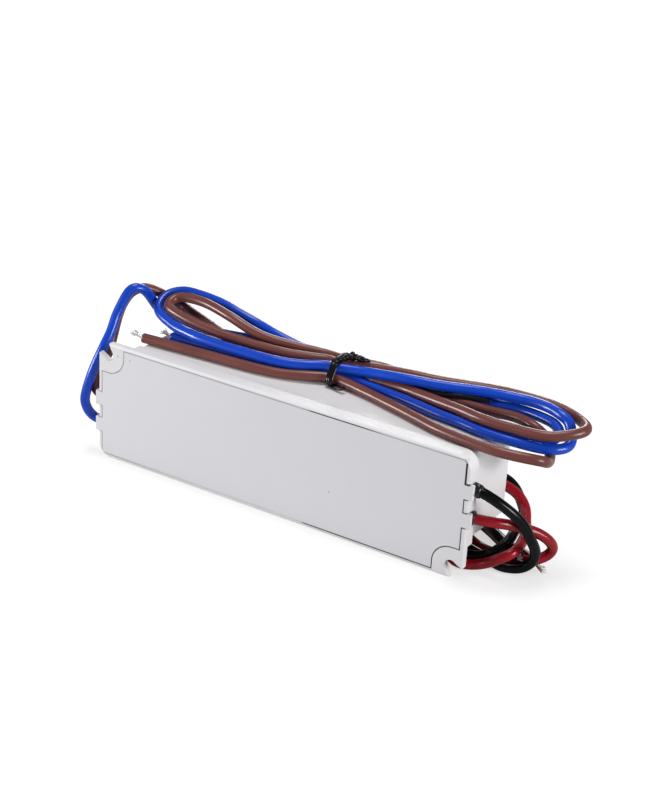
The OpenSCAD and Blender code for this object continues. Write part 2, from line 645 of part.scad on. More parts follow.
brown_route = [[-53.5, -10.3, 17.6], [-57, -10.3, 17.6], [-60.3, -10.3, 17.6], [-62.7, -9.8, 18.3],
    [-63.4, -8.2, 23], [-61, -6.3, 28.4], [-61.2, -4.2, 32.2], [-62.2, -0.4, 37.6], [-62, 2, 41.2],
    [-60.8, 4.6, 44], [-58.6, 7.4, 44.7], [-56.7, 10.4, 43.2], [-53.4, 13, 41], [-49.2, 13.4, 39.5],
    [-44.5, 11.7, 39], [-34.3, 7.4, 38.7], [-27, 6.5, 36.9], [-17, 7.6, 35.7], [-8, 9.3, 35.5],
    [0, 10.5, 35.9], [12, 10.7, 35.9], [17.2, 10, 36.2], [26.1, 9.4, 36.8], [31.8, 8, 37.2],
    [38.9, 6.2, 37.7], [45.8, 4.6, 38.1], [52.7, 2.9, 38.3], [61.1, 2.5, 38.4], [71.9, 3, 39],
    [78.4, 9.6, 39.9], [74.3, 15.1, 39.8], [65.9, 17.5, 40.4], [55, 17.5, 40.5], [47.5, 16.8, 40.2],
    [34.4, 14.1, 39.7], [26, 12.7, 39.7], [14, 11.3, 39], [7, 9.4, 38.5], [2.2, 9.4, 38.5],
    [-2.9, 7.6, 38.5], [-9.9, 5.8, 38.5], [-17.5, 4.9, 38.7], [-24.3, 4.4, 39], [-30.6, 3.8, 39.5],
    [-41, 3.9, 40.7], [-48.8, 5.5, 42.1], [-48.5, 9.7, 43.7], [-40.4, 10.5, 44], [-30.5, 8.8, 43],
    [-22.8, 8.3, 41], [-17, 8.6, 39.9], [-10, 10, 39.2], [0, 12.2, 38.6], [7, 12.3, 38.5], [14, 14.4, 38.4],
    [20, 15, 38], [31, 13.2, 36.9], [38, 11.5, 36.5], [44, 11.1, 36.7], [51, 10.9, 37], [58.7, 10.4, 37.7],
    [64.4, 8.2, 38], [67.6, 7.9, 36.8], [69.6, 8.2, 34.4], [71, 6.6, 32.3], [72.2, 3.4, 31.8],
    [72.7, -2.6, 34.6], [65, -6, 35.5], [56.8, -6.1, 35.5], [45.1, -4.5, 35.5], [38, -2.4, 35.5],
    [32, -0.5, 35.5], [25.3, 1.4, 35.5], [18.4, 3.3, 35.5], [7, 5, 35.9], [0.8, 2.2, 35.9],
    [-5.6, -0.3, 35.5], [-12.7, -1.8, 35.5], [-20.5, -2.5, 35.5], [-28.4, -3, 35.5], [-36.5, -3.6, 35.5],
    [-44.6, -4.2, 35.5], [-49.7, -4.6, 35.5]];
red_route = [[53.5, -10.3, 17.4], [57, -10.3, 17.4], [60.3, -10.3, 17.4], [64.5, -8.4, 17],
    [67.6, -5.3, 16], [70.3, -1.6, 14.2], [73, 1.2, 12.4], [75, 3.4, 10], [75.2, 5.4, 7], [73.8, 5, 4.6],
    [70.7, 2.6, 3.2], [67, 2.7, 2.1], [62.5, 3.2, 1.5], [57.1, 3.5, 1.4], [53.2, 4.4, 1.8],
    [50.6, 4.3, 3.4], [50, 1.6, 5.2], [50.2, -2.2, 5.6], [50.7, -5.4, 4.9], [51.9, -7.2, 3.2],
    [54.6, -7.4, 1.8], [58, -6.1, 1.6], [61.6, -5.7, 3], [65.2, -5.4, 5.3], [68, -3.2, 7.1], [68, 1.4, 7.7],
    [66.6, 6.8, 8.2], [64.4, 11.1, 9], [62.3, 14.4, 10.9], [59.9, 15, 13.4], [56.2, 14.8, 15.2],
    [51.5, 14.6, 15.8], [46, 14.6, 15.4], [41, 14.8, 13.2], [37.8, 15.2, 9.6], [37.2, 15.6, 5.6],
    [39.4, 16.4, 2.4], [43.6, 17, 1.4], [48.4, 16, 1.4], [51.3, 14.5, 1.4], [54.8, 12.4, 1.4],
    [58.3, 10.1, 1.4], [62.2, 8.8, 1.4], [66, 7.8, 1.4], [70, 5.6, 1.4]];
black_route = [[53.5, -10.3, 25.4], [57, -10.3, 25.4], [60.3, -10.3, 25.4], [63.8, -9.8, 24.3],
    [68, -7.6, 21.1], [70.8, -5.2, 17.4], [72.8, -3.7, 13], [73.5, -1.9, 9.5], [73, -0.4, 6.2],
    [71.4, -0.1, 3.5], [68.8, -0.7, 1.8], [64.5, -1.7, 1.4], [60.2, -0.4, 1.4], [56.4, 0.7, 1.4],
    [53.2, 1.5, 1.4], [50.8, 1.1, 1.6], [49.7, -0.8, 2], [50.6, -3.2, 2.4], [53, -4.3, 2.6],
    [56, -3.9, 2.8], [58.9, -3, 3.1], [61.6, -2, 4.4], [63.4, -0.4, 6], [64.3, 2.2, 7.4], [63.3, 6.9, 7.3],
    [62.4, 11.6, 7], [61.6, 15.2, 7.2], [60.7, 17.2, 8.7], [59.3, 17.5, 11], [58, 17.7, 13.1],
    [55.7, 17.7, 15.1], [51.5, 17.4, 16.4], [46, 17.5, 16], [40.6, 17.8, 13.8], [36.6, 18.3, 10],
    [35.8, 18.8, 5.6], [38.2, 19.3, 2.2], [42.6, 19.9, 1.4], [46.8, 19.6, 1.8], [49.6, 17.8, 3.9],
    [51.6, 14, 4.3], [54.2, 10.6, 4.3], [56.8, 8.6, 4.3], [60.5, 6.1, 4.3], [64.4, 3.3, 4.6],
    [68, 0.6, 4.8]];

function unit(v) = v / norm(v);
function heading(p, i) = unit(p[min(i + 1, len(p) - 1)] - p[max(i - 1, 0)]);
function square_to(n, t) = unit(n - (n * t) * t);

// Side direction at each point of a route, carried from one to the next so that a tube doesn't twist
function sides_of(p) = [for (i = 0, n = square_to([0.2, 1, 0.1], heading(p, 0)); i < len(p);
    i = i + 1, n = square_to(n, heading(p, min(i, len(p) - 1)))) n];

// Solid swept along a route with the given flat section
module swept(p, section) {
    m = len(section);
    across = sides_of(p);
    corners = [for (i = [0:len(p) - 1]) let (up = cross(heading(p, i), across[i]))
        for (s = section) p[i] + s.x * across[i] + s.y * up];
    walls = [for (i = [0:len(p) - 2], k = [0:m - 1]) let (a = i * m + k, b = i * m + (k + 1) % m)
        each [[a, b + m, b], [a, a + m, b + m]]];
    last = (len(p) - 1) * m;
    polyhedron(corners, concat([[for (k = [0:m - 1]) k]], walls, [[for (k = [m - 1:-1:0]) last + k]]));
}

lead_sides = 8;
function round_section(r) = [for (k = [0:lead_sides - 1]) r * [cos(k * 360 / lead_sides), sin(k * 360 / lead_sides)]];
lead_section = round_section(lead_d / 2);
module blue_lead() color("mediumblue") swept(blue_route, lead_section);
module brown_lead() color("sienna") swept(brown_route, lead_section);
module red_lead() color("firebrick") swept(red_route, lead_section);
module black_lead() color("black") swept(black_route, lead_section);

// Tinned strands of a cut end: a short stub, from which the wires lean upwards and apart
strand_r = 0.2;
stub_r = 0.7;
module strands(p, l, lift) {
    t = heading(p, len(p) - 1);
    translate(p[len(p) - 1]) rotate([0, acos(t.z), atan2(t.y, t.x)]) {
        cylinder(h = l * 0.3, r = stub_r);
        rotate([0, -lift, 0]) for (k = [0:4]) rotate(72 * k) translate([stub_r - strand_r, 0, l * 0.15])
            rotate([0, 2 + k, 0]) cylinder(h = l * (0.85 - 0.07 * k), r = strand_r);
    }
}
module blue_strands() color("silver") strands(blue_route, 4.5, 14);
module brown_strands() color("silver") strands(brown_route, 4.5, 12);
module red_strands() color("silver") strands(red_route, 6, 0);
module black_strands() color("silver") strands(black_route, 2.2, 14);

// Twist tie: a flat strip wound twice round the hank. Behind the hank it is twisted into a short tail,
// one end curls out below the hank, and the other runs on between the leads and out to the right
tie_t = 0.4;
tie_w = 1.2;
tie_x = 6;
tie_step = 1.5;
tail_r = 0.6;
held = [[3.7, 35.9], [16.6, 35.9], [12.8, 38.5], [5.9, 38.5]];
tail_route = [[6.6, 9.8, 40.4], [8.4, 10.1, 41.1], [10.4, 10.2, 41.2], [12.4, 10.2, 41.1], [14.2, 10.5, 41.1]];
curl_route = [[7.6, 3.2, 34.4], [8.8, 1.6, 34.5], [10.2, 0.8, 34.9], [10.9, 1.2, 35.6], [10.4, 2, 36]];
long_end_route = [[14, 12.2, 37.1], [20, 11.7, 37.2], [26, 11.3, 37.9], [32.5, 9.8, 37.8], [38.6, 10, 38.5],
    [44.5, 11.4, 38.8], [50.3, 12.5, 39]];
function strip_section(w, h) = [for (s = [[-1, -1], [1, -1], [1, 1], [-1, 1]]) [s.x * w / 2, s.y * h / 2]];
module bundle_outline(gap) hull() for (c = held) translate(c) circle(lead_d / 2 + gap, $fn = 24);
module twist_tie() color("black") {
    for (i = [0, 1]) translate([tie_x + i * tie_step, 10, 0]) rotate([0, 0, -6 + 8 * i]) rotate([90, 0, 90])
        translate([-10, 0, -tie_w / 2]) linear_extrude(tie_w) difference() {
            bundle_outline(tie_t);
            bundle_outline(seat);
        }
    swept(tail_route, round_section(tail_r));
    swept(curl_route, strip_section(tie_w, tie_t));
    swept(long_end_route, strip_section(tie_t, tie_w));
}

case();
cover();
potting_compound();
circuit_board();
fuse();
inrush_thermistor();
surge_varistor();
filter_capacitor();
choke_core();
choke_bobbin();
choke_windings();
bridge_rectifier();
bulk_capacitor();
bulk_capacitor_sleeve();
switching_controller();
supply_capacitor();
clamp_resistor();
transformer_core();
transformer_bobbin();
transformer_windings();
safety_capacitor();
optocoupler();
voltage_reference();
output_rectifier();
output_capacitors();
output_choke();
lead_terminals();
exit_sealant();
blue_lead();
brown_lead();
red_lead();
black_lead();
blue_strands();
brown_strands();
red_strands();
black_strands();
twist_tie();
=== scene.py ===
import math

import bpy
import numpy as np
from mathutils import Matrix


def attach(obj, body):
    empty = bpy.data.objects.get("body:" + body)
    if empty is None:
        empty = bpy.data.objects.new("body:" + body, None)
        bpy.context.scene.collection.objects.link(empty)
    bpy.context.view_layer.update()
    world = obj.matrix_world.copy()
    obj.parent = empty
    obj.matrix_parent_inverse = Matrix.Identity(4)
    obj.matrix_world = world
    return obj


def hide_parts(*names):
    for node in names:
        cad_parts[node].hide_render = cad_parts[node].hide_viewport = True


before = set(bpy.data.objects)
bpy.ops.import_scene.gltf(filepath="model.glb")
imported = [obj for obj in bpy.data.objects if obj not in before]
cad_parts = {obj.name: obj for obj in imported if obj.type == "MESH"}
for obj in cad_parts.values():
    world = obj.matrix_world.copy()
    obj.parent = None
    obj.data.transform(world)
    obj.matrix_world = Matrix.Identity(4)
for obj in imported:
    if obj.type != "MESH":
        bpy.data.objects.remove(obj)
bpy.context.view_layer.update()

MM = 0.001

# Camera: a long lens that looks down on the unit from beyond its output end.
# Azimuth turns the view from straight ahead, elevation raises it, and roll leans the picture.
camera_place = (0.2385, -0.3778, 0.2339)
camera_azimuth, camera_elevation, camera_roll = (math.radians(a) for a in (31.43, 24.57, 3.15))
lens = bpy.data.cameras.new("camera")
lens.sensor_width = 36
lens.lens = 82.2
lens.clip_start = 0.01
camera = bpy.data.objects.new("camera", lens)
camera.matrix_world = (
    Matrix.Translation(camera_place)
    @ Matrix.Rotation(camera_azimuth, 4, "Z")
    @ Matrix.Rotation(math.pi / 2 - camera_elevation, 4, "X")
    @ Matrix.Rotation(camera_roll, 4, "Z")
)
bpy.context.scene.collection.objects.link(camera)
bpy.context.scene.camera = camera
bpy.context.scene.view_settings.view_transform = "Standard"

# Leads: tinned copper strands in smooth extruded vinyl, two mains leads wound into one hank and two output
# leads bent round beside their exits. Each runs from inside its notch to a square cut end.
lead_r = 1.4 * MM
ring_step = 0.5 * MM
lead_sides = 28
# Points in millimetres on each lead's middle line, as in the CAD.
blue_route = [(-53.5, -10.3, 9.6), (-57, -10.3, 9.6), (-60.4, -10.3, 9.5), (-62.6, -10.7, 9.9),
    (-64, -11.6, 11.9), (-64.4, -12.4, 14.6), (-64, -12.6, 17.4), (-62.5, -11.6, 23.8), (-60.9, -9.2, 30.3),
    (-60.3, -6, 35.1), (-60.4, -3, 39.8), (-58.9, 0.6, 45.8), (-57.2, 2.8, 46.3), (-56.3, 5.2, 44.5),
    (-55.5, 9.8, 38.4), (-53.2, 12, 36.4), (-48, 12.3, 35.8), (-38, 10.6, 36), (-27, 9.8, 37.2),
    (-17, 11.4, 38.2), (-10, 12.6, 37), (-4, 13.1, 35.9), (7, 13.5, 35.9), (14, 13.4, 35.6), (21, 13, 35.5),
    (31.8, 10.5, 35.5), (45.8, 6.3, 35.5), (52, 4.9, 35.5), (60, 4.5, 35.5), (70, 5.4, 36.2),
    (72, 7.8, 37.2), (71, 10.2, 38), (67.5, 12.2, 38.5), (58.7, 14.6, 38), (49.5, 14.2, 37.5),
    (38, 14.6, 37), (31, 16.2, 36.8), (25, 17.2, 36.2), (14, 16.5, 35.7), (7, 16.4, 35.9), (-4, 16, 35.9),
    (-11, 15.4, 36.9), (-18.4, 14.2, 39), (-24, 12.6, 41.5), (-29.5, 12.3, 43), (-35, 13, 44),
    (-43, 13.5, 44.4), (-49.4, 13, 44.3), (-52.9, 9.6, 43), (-51.6, 4.5, 40.6), (-44.3, 1.6, 38.8),
    (-38, 0.2, 38.5), (-32, -0.5, 38.3), (-16.8, 0, 38.1), (-9, 0.8, 38), (-2.5, 2.9, 38), (2.9, 5.6, 38.4),
    (7, 6.5, 38.5), (14.8, 8.5, 38.7), (26, 9.1, 39.8), (36, 10.9, 40), (45.8, 13.2, 40.5),
    (52.9, 13.9, 41), (60.3, 14.6, 41.2), (66, 13.9, 41.3), (70.6, 12.2, 41), (73.4, 11.4, 39.6),
    (75.5, 7.9, 35.8), (72, 2.9, 35.5), (62, 1.4, 35.5), (53.6, 1.6, 35.5), (47, 2.8, 35.5),
    (40.5, 3.5, 35.5), (28.3, 5.8, 35.5), (19, 7, 35.5), (7, 7.8, 35.9), (0, 6.2, 35.7), (-8, 3.5, 35.5),
    (-18, 2, 35.5), (-28, 1.4, 35.5), (-37, 1.2, 35.5), (-43.9, 0.9, 35.5)]
brown_route = [(-53.5, -10.3, 17.6), (-57, -10.3, 17.6), (-60.3, -10.3, 17.6), (-62.7, -9.8, 18.3),
    (-63.4, -8.2, 23), (-61, -6.3, 28.4), (-61.2, -4.2, 32.2), (-62.2, -0.4, 37.6), (-62, 2, 41.2),
    (-60.8, 4.6, 44), (-58.6, 7.4, 44.7), (-56.7, 10.4, 43.2), (-53.4, 13, 41), (-49.2, 13.4, 39.5),
    (-44.5, 11.7, 39), (-34.3, 7.4, 38.7), (-27, 6.5, 36.9), (-17, 7.6, 35.7), (-8, 9.3, 35.5),
    (0, 10.5, 35.9), (12, 10.7, 35.9), (17.2, 10, 36.2), (26.1, 9.4, 36.8), (31.8, 8, 37.2),
    (38.9, 6.2, 37.7), (45.8, 4.6, 38.1), (52.7, 2.9, 38.3), (61.1, 2.5, 38.4), (71.9, 3, 39),
    (78.4, 9.6, 39.9), (74.3, 15.1, 39.8), (65.9, 17.5, 40.4), (55, 17.5, 40.5), (47.5, 16.8, 40.2),
    (34.4, 14.1, 39.7), (26, 12.7, 39.7), (14, 11.3, 39), (7, 9.4, 38.5), (2.2, 9.4, 38.5),
    (-2.9, 7.6, 38.5), (-9.9, 5.8, 38.5), (-17.5, 4.9, 38.7), (-24.3, 4.4, 39), (-30.6, 3.8, 39.5),
    (-41, 3.9, 40.7), (-48.8, 5.5, 42.1), (-48.5, 9.7, 43.7), (-40.4, 10.5, 44), (-30.5, 8.8, 43),
    (-22.8, 8.3, 41), (-17, 8.6, 39.9), (-10, 10, 39.2), (0, 12.2, 38.6), (7, 12.3, 38.5), (14, 14.4, 38.4),
    (20, 15, 38), (31, 13.2, 36.9), (38, 11.5, 36.5), (44, 11.1, 36.7), (51, 10.9, 37), (58.7, 10.4, 37.7),
    (64.4, 8.2, 38), (67.6, 7.9, 36.8), (69.6, 8.2, 34.4), (71, 6.6, 32.3), (72.2, 3.4, 31.8),
    (72.7, -2.6, 34.6), (65, -6, 35.5), (56.8, -6.1, 35.5), (45.1, -4.5, 35.5), (38, -2.4, 35.5),
    (32, -0.5, 35.5), (25.3, 1.4, 35.5), (18.4, 3.3, 35.5), (7, 5, 35.9), (0.8, 2.2, 35.9),
    (-5.6, -0.3, 35.5), (-12.7, -1.8, 35.5), (-20.5, -2.5, 35.5), (-28.4, -3, 35.5), (-36.5, -3.6, 35.5),
    (-44.6, -4.2, 35.5), (-49.7, -4.6, 35.5)]
red_route = [(53.5, -10.3, 17.4), (57, -10.3, 17.4), (60.3, -10.3, 17.4), (64.5, -8.4, 17),
    (67.6, -5.3, 16), (70.3, -1.6, 14.2), (73, 1.2, 12.4), (75, 3.4, 10), (75.2, 5.4, 7), (73.8, 5, 4.6),
    (70.7, 2.6, 3.2), (67, 2.7, 2.1), (62.5, 3.2, 1.5), (57.1, 3.5, 1.4), (53.2, 4.4, 1.8),
    (50.6, 4.3, 3.4), (50, 1.6, 5.2), (50.2, -2.2, 5.6), (50.7, -5.4, 4.9), (51.9, -7.2, 3.2),
    (54.6, -7.4, 1.8), (58, -6.1, 1.6), (61.6, -5.7, 3), (65.2, -5.4, 5.3), (68, -3.2, 7.1), (68, 1.4, 7.7),
    (66.6, 6.8, 8.2), (64.4, 11.1, 9), (62.3, 14.4, 10.9), (59.9, 15, 13.4), (56.2, 14.8, 15.2),
    (51.5, 14.6, 15.8), (46, 14.6, 15.4), (41, 14.8, 13.2), (37.8, 15.2, 9.6), (37.2, 15.6, 5.6),
    (39.4, 16.4, 2.4), (43.6, 17, 1.4), (48.4, 16, 1.4), (51.3, 14.5, 1.4), (54.8, 12.4, 1.4),
    (58.3, 10.1, 1.4), (62.2, 8.8, 1.4), (66, 7.8, 1.4), (70, 5.6, 1.4)]
black_route = [(53.5, -10.3, 25.4), (57, -10.3, 25.4), (60.3, -10.3, 25.4), (63.8, -9.8, 24.3),
    (68, -7.6, 21.1), (70.8, -5.2, 17.4), (72.8, -3.7, 13), (73.5, -1.9, 9.5), (73, -0.4, 6.2),
    (71.4, -0.1, 3.5), (68.8, -0.7, 1.8), (64.5, -1.7, 1.4), (60.2, -0.4, 1.4), (56.4, 0.7, 1.4),
    (53.2, 1.5, 1.4), (50.8, 1.1, 1.6), (49.7, -0.8, 2), (50.6, -3.2, 2.4), (53, -4.3, 2.6),
    (56, -3.9, 2.8), (58.9, -3, 3.1), (61.6, -2, 4.4), (63.4, -0.4, 6), (64.3, 2.2, 7.4), (63.3, 6.9, 7.3),
    (62.4, 11.6, 7), (61.6, 15.2, 7.2), (60.7, 17.2, 8.7), (59.3, 17.5, 11), (58, 17.7, 13.1),
    (55.7, 17.7, 15.1), (51.5, 17.4, 16.4), (46, 17.5, 16), (40.6, 17.8, 13.8), (36.6, 18.3, 10),
    (35.8, 18.8, 5.6), (38.2, 19.3, 2.2), (42.6, 19.9, 1.4), (46.8, 19.6, 1.8), (49.6, 17.8, 3.9),
    (51.6, 14, 4.3), (54.2, 10.6, 4.3), (56.8, 8.6, 4.3), (60.5, 6.1, 4.3), (64.4, 3.3, 4.6),
    (68, 0.6, 4.8)]


def unit(v):
    """Each vector over its length."""
    return v / np.linalg.norm(v, axis=-1, keepdims=True)


def distance_along(line):
    """Distance from a line's start to each of its points, measured along it."""
    return np.r_[0, np.cumsum(np.linalg.norm(np.diff(line, axis=0), axis=1))]


def evened(line, passes):
    """The line after some passes of a running mean over three points. Its two ends stay."""
    for _ in range(passes):
        line[1:-1] = (line[:-2] + line[1:-1] + line[2:]) / 3
    return line


def smooth_line(route, step):
    """Even points, a step apart, on the cubic through the route's points. It passes each point along the line
    between its two neighbours, and lies no lower than a lead on the floor. Three passes of a running mean
    then round off the changes of curvature."""
    stretch_points = 16
    p = np.array(route, float) * MM
    p = np.vstack([2 * p[0] - p[1], p, 2 * p[-1] - p[-2]])
    t = np.linspace(0, 1, stretch_points, endpoint=False)[None, :, None]
    before, start, end, after = (p[i : len(p) - 3 + i, None] for i in range(4))
    line = start + (end - before) / 2 * t + (before - 2.5 * start + 2 * end - after / 2) * t**2
    line = line + (1.5 * start - before / 2 - 1.5 * end + after / 2) * t**3
    line = np.vstack([line.reshape(-1, 3), p[-2]])
    run = distance_along(line)
    at = np.linspace(0, run[-1], int(run[-1] / step) + 1)
    line = np.stack([np.interp(at, run, line[:, k]) for k in range(3)], 1)
    line[:, 2] = np.maximum(line[:, 2], lead_r)
    return evened(line, 3)


def carried_frame(line):
    """Unit tangent, side and up at each point of a line. The side direction is carried along and kept square
    to the tangent, so that what is swept along the line doesn't twist."""
    tangent = unit(np.gradient(line, axis=0))
    side = np.empty_like(tangent)
    carried = np.array([0.2, 1, 0.1])
    for i, ahead in enumerate(tangent):
        carried = unit(carried - (carried @ ahead) * ahead)
        side[i] = carried
    return tangent, side, np.cross(tangent, side)


def round_section(sides):
    """Points of a circle of radius 1, a row for each: the cosine and sine of even angles."""
    angle = np.arange(sides) * 2 * math.pi / sides
    return np.stack([np.cos(angle), np.sin(angle)], 1)


def closed_tube(rings, start_middle, end_middle):
    """Points and faces of a tube through rings of points: quads between neighbouring rings, and at each end a
    fan of triangles round one more point in its middle."""
    rows, columns = rings.shape[:2]
    row = np.arange(rows - 1)[:, None] * columns
    here = np.arange(columns)
    after = (here + 1) % columns
    walls = np.stack([row + here, row + after, row + columns + after, row + columns + here], -1)
    n = rows * columns
    start_fan = np.stack([np.full(columns, n), after, here], 1)
    end_fan = np.stack([np.full(columns, n + 1), n - columns + here, n - columns + after], 1)
    points = np.vstack([rings.reshape(-1, 3), start_middle, end_middle])
    return points, [walls.reshape(-1, 4), start_fan, end_fan]


def joined(parts):
    """Points and faces of several parts as one. Each part's faces are numbered on from the part before."""
    first = np.cumsum([0] + [len(points) for points, _ in parts])
    faces = [face + start for (_, part), start in zip(parts, first) for face in part]
    return np.vstack([points for points, _ in parts]), faces


def piece(name, points, faces, material, slot):
    """New object from points in metres and arrays of faces. It rides on the unit and takes a finish named for
    one of the record's slots. The slot argument is not used."""
    mesh = bpy.data.meshes.new(name)
    mesh.from_pydata(points.tolist(), [], [corners for part in faces for corners in part.tolist()])
    mesh.polygons.foreach_set("use_smooth", np.ones(len(mesh.polygons), bool))
    mesh.materials.append(material)
    made = bpy.data.objects.new(name, mesh)
    bpy.context.scene.collection.objects.link(made)
    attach(made, "root")
    return made


def straightened(made, values):
    """Gives each vertex its place on the piece as if that were pulled straight: across, across and along."""
    attribute = made.data.attributes.new("straightened", "FLOAT_VECTOR", "POINT")
    attribute.data.foreach_set("vector", np.asarray(values, np.float32).ravel())


def insulation(name, line, material):
    """Tube round a line, with a rounded rim and a bore at its cut end, where the strands come out. Each ring
    is its centre plus its radius times (side times cosine plus up times sine) of the angle round it. Its
    slot has the piece's name."""
    tangent, side, up = carried_frame(line)
    run = distance_along(line)
    rim, bore_r, bore_taper, bore_depth = 0.12 * MM, 0.82 * MM, 0.1 * MM, 1.2 * MM
    end_radii = [lead_r - 0.3 * rim, lead_r - rim, bore_r, bore_r - bore_taper]
    end_reaches = [0.7 * rim, rim, rim, -bore_depth]
    row = np.r_[np.arange(len(line)), np.full(len(end_radii), len(line) - 1)]
    radius = np.r_[np.full(len(line), lead_r), end_radii][:, None, None]
    along = np.r_[np.zeros(len(line)), end_reaches]
    circle = round_section(lead_sides)
    spoke = side[row][:, None] * circle[:, :1] + up[row][:, None] * circle[:, 1:]
    centre = line[row] + tangent[row] * along[:, None]
    rings = centre[:, None] + radius * spoke
    made = piece(name, *closed_tube(rings, centre[0], centre[-1]), material, name)
    distance = np.broadcast_to((run[row] + along)[:, None, None], (len(row), lead_sides, 1))
    place = np.concatenate([radius * circle, distance], 2)
    straightened(made, np.vstack([place.reshape(-1, 3), [0, 0, 0], [0, 0, run[-1]]]))
    return made


def node_group(name, inputs, outputs):
    """Empty shader group with float inputs, each with its usual value, and float outputs."""
    group = bpy.data.node_groups.new(name, "ShaderNodeTree")
    for label, value in inputs.items():
        socket = group.interface.new_socket(label, in_out="INPUT", socket_type="NodeSocketFloat")
        socket.default_value = value
    for label in outputs:
        group.interface.new_socket(label, in_out="OUTPUT", socket_type="NodeSocketFloat")
    return group, group.nodes.new("NodeGroupInput").outputs, group.nodes.new("NodeGroupOutput").inputs


def add_node(tree, kind, settings=None, **inputs):
    """New node of a kind. Settings are its own properties. An input goes by its name, or by its number as in
    _0, and is a value or a socket to link from."""
    node = tree.nodes.new(kind)
    for key, value in (settings or {}).items():
        setattr(node, key, value)
    for key, value in inputs.items():
        socket = node.inputs[int(key[1:]) if key[0] == "_" else key.replace("_", " ")]
        if isinstance(value, bpy.types.NodeSocket):
            tree.links.new(value, socket)
        else:
            socket.default_value = value
    return node


def object_place(tree):
    """Place on the object in metres, the same for every piece of it."""
    return add_node(tree, "ShaderNodeTexCoord").outputs["Object"]


def noise(tree, place, scale, detail, roughness=0.5):
    """Even noise of a place, from 0 to 1. The scale is its count of features to the metre."""
    node = add_node(tree, "ShaderNodeTexNoise", Vector=place, Scale=scale, Detail=detail, Roughness=roughness)
    return node.outputs["Fac"]


def ramp(tree, value, start, stop, low, high, **settings):
    """Goes from low to high while a value goes from start to stop, and keeps level before and after."""
    node = add_node(tree, "ShaderNodeMapRange", settings, Value=value, _1=start, _2=stop, _3=low, _4=high)
    return node.outputs[0]


def blend(tree, mask, first, second):
    """Colour between two, nearer the second where the mask is higher. Each is a socket or three numbers."""
    first, second = (v if isinstance(v, bpy.types.NodeSocket) else (*v, 1) for v in (first, second))
    mix = add_node(tree, "ShaderNodeMix", {"data_type": "RGBA"}, _0=mask, A=first, B=second)
    return next(output for output in mix.outputs if output.type == "RGBA")


def new_material(name, **settings):
    """Material with one Principled shader, whose plain values are set on its own sockets."""
    material = bpy.data.materials.new(name)
    material.use_nodes = True
    shader = material.node_tree.nodes["Principled BSDF"]
    for key, value in settings.items():
        shader.inputs[key.replace("_", " ")].default_value = value
    return material, material.node_tree, shader


def shade_between(tree, shader, mask, dark, light):
    """Base colour that goes from dark to light with a mask."""
    tree.links.new(blend(tree, mask, dark, light), shader.inputs["Base Color"])


def rough_between(tree, shader, mask, low, high):
    """Roughness that goes from low to high with a mask."""
    tree.links.new(ramp(tree, mask, 0.0, 1.0, low, high), shader.inputs["Roughness"])


def bumped(tree, shader, height, distance):
    """Normal raised by a height from 0 to 1 over a distance in metres."""
    bump = add_node(tree, "ShaderNodeBump", Height=height, Distance=distance)
    tree.links.new(bump.outputs[0], shader.inputs["Normal"])


def extruded_marks():
    """Group for what is drawn through a die: fine lines along it, and a slow unevenness in its shade. Both
    are noises of the place on the straightened piece, the lines stretched along it."""
    stretch = 0.03
    counts = {"Lines": 4200.0, "Patches": 90.0}
    tree, given, out = node_group("extruded_marks", counts, counts)
    place = add_node(tree, "ShaderNodeAttribute", {"attribute_name": "straightened"}).outputs["Vector"]
    drawn = add_node(tree, "ShaderNodeMapping", _0=place, Scale=(1, 1, stretch)).outputs[0]
    tree.links.new(noise(tree, drawn, given["Lines"], detail=3.0, roughness=0.6), out["Lines"])
    tree.links.new(noise(tree, place, given["Patches"], detail=2.0), out["Patches"])
    return tree


extruding_group = extruded_marks()


def vinyl(slot, dark, light, roughness, gloss):
    """Smooth extruded vinyl, a little uneven in shade and gloss, with the die's fine lines along it."""
    material, tree, shader = new_material(slot, Specular_IOR_Level=gloss)
    marks = add_node(tree, "ShaderNodeGroup", {"node_tree": extruding_group}).outputs
    shade_between(tree, shader, marks["Patches"], dark, light)
    rough_between(tree, shader, marks["Lines"], roughness - 0.05, roughness + 0.07)
    bumped(tree, shader, marks["Lines"], distance=0.012 * MM)
    return material


def strand_metal():
    """Tinned copper wire: bright grey metal with a trace of copper where the tin is thin."""
    material, tree, shader = new_material("tinned_copper", Metallic=0.8)
    tin = noise(tree, object_place(tree), scale=1800.0, detail=3.0)
    shade_between(tree, shader, tin, (0.7, 0.67, 0.64), (0.95, 0.94, 0.93))
    rough_between(tree, shader, tin, low=0.42, high=0.22)
    bumped(tree, shader, tin, distance=0.01 * MM)
    return material


tinned = strand_metal()


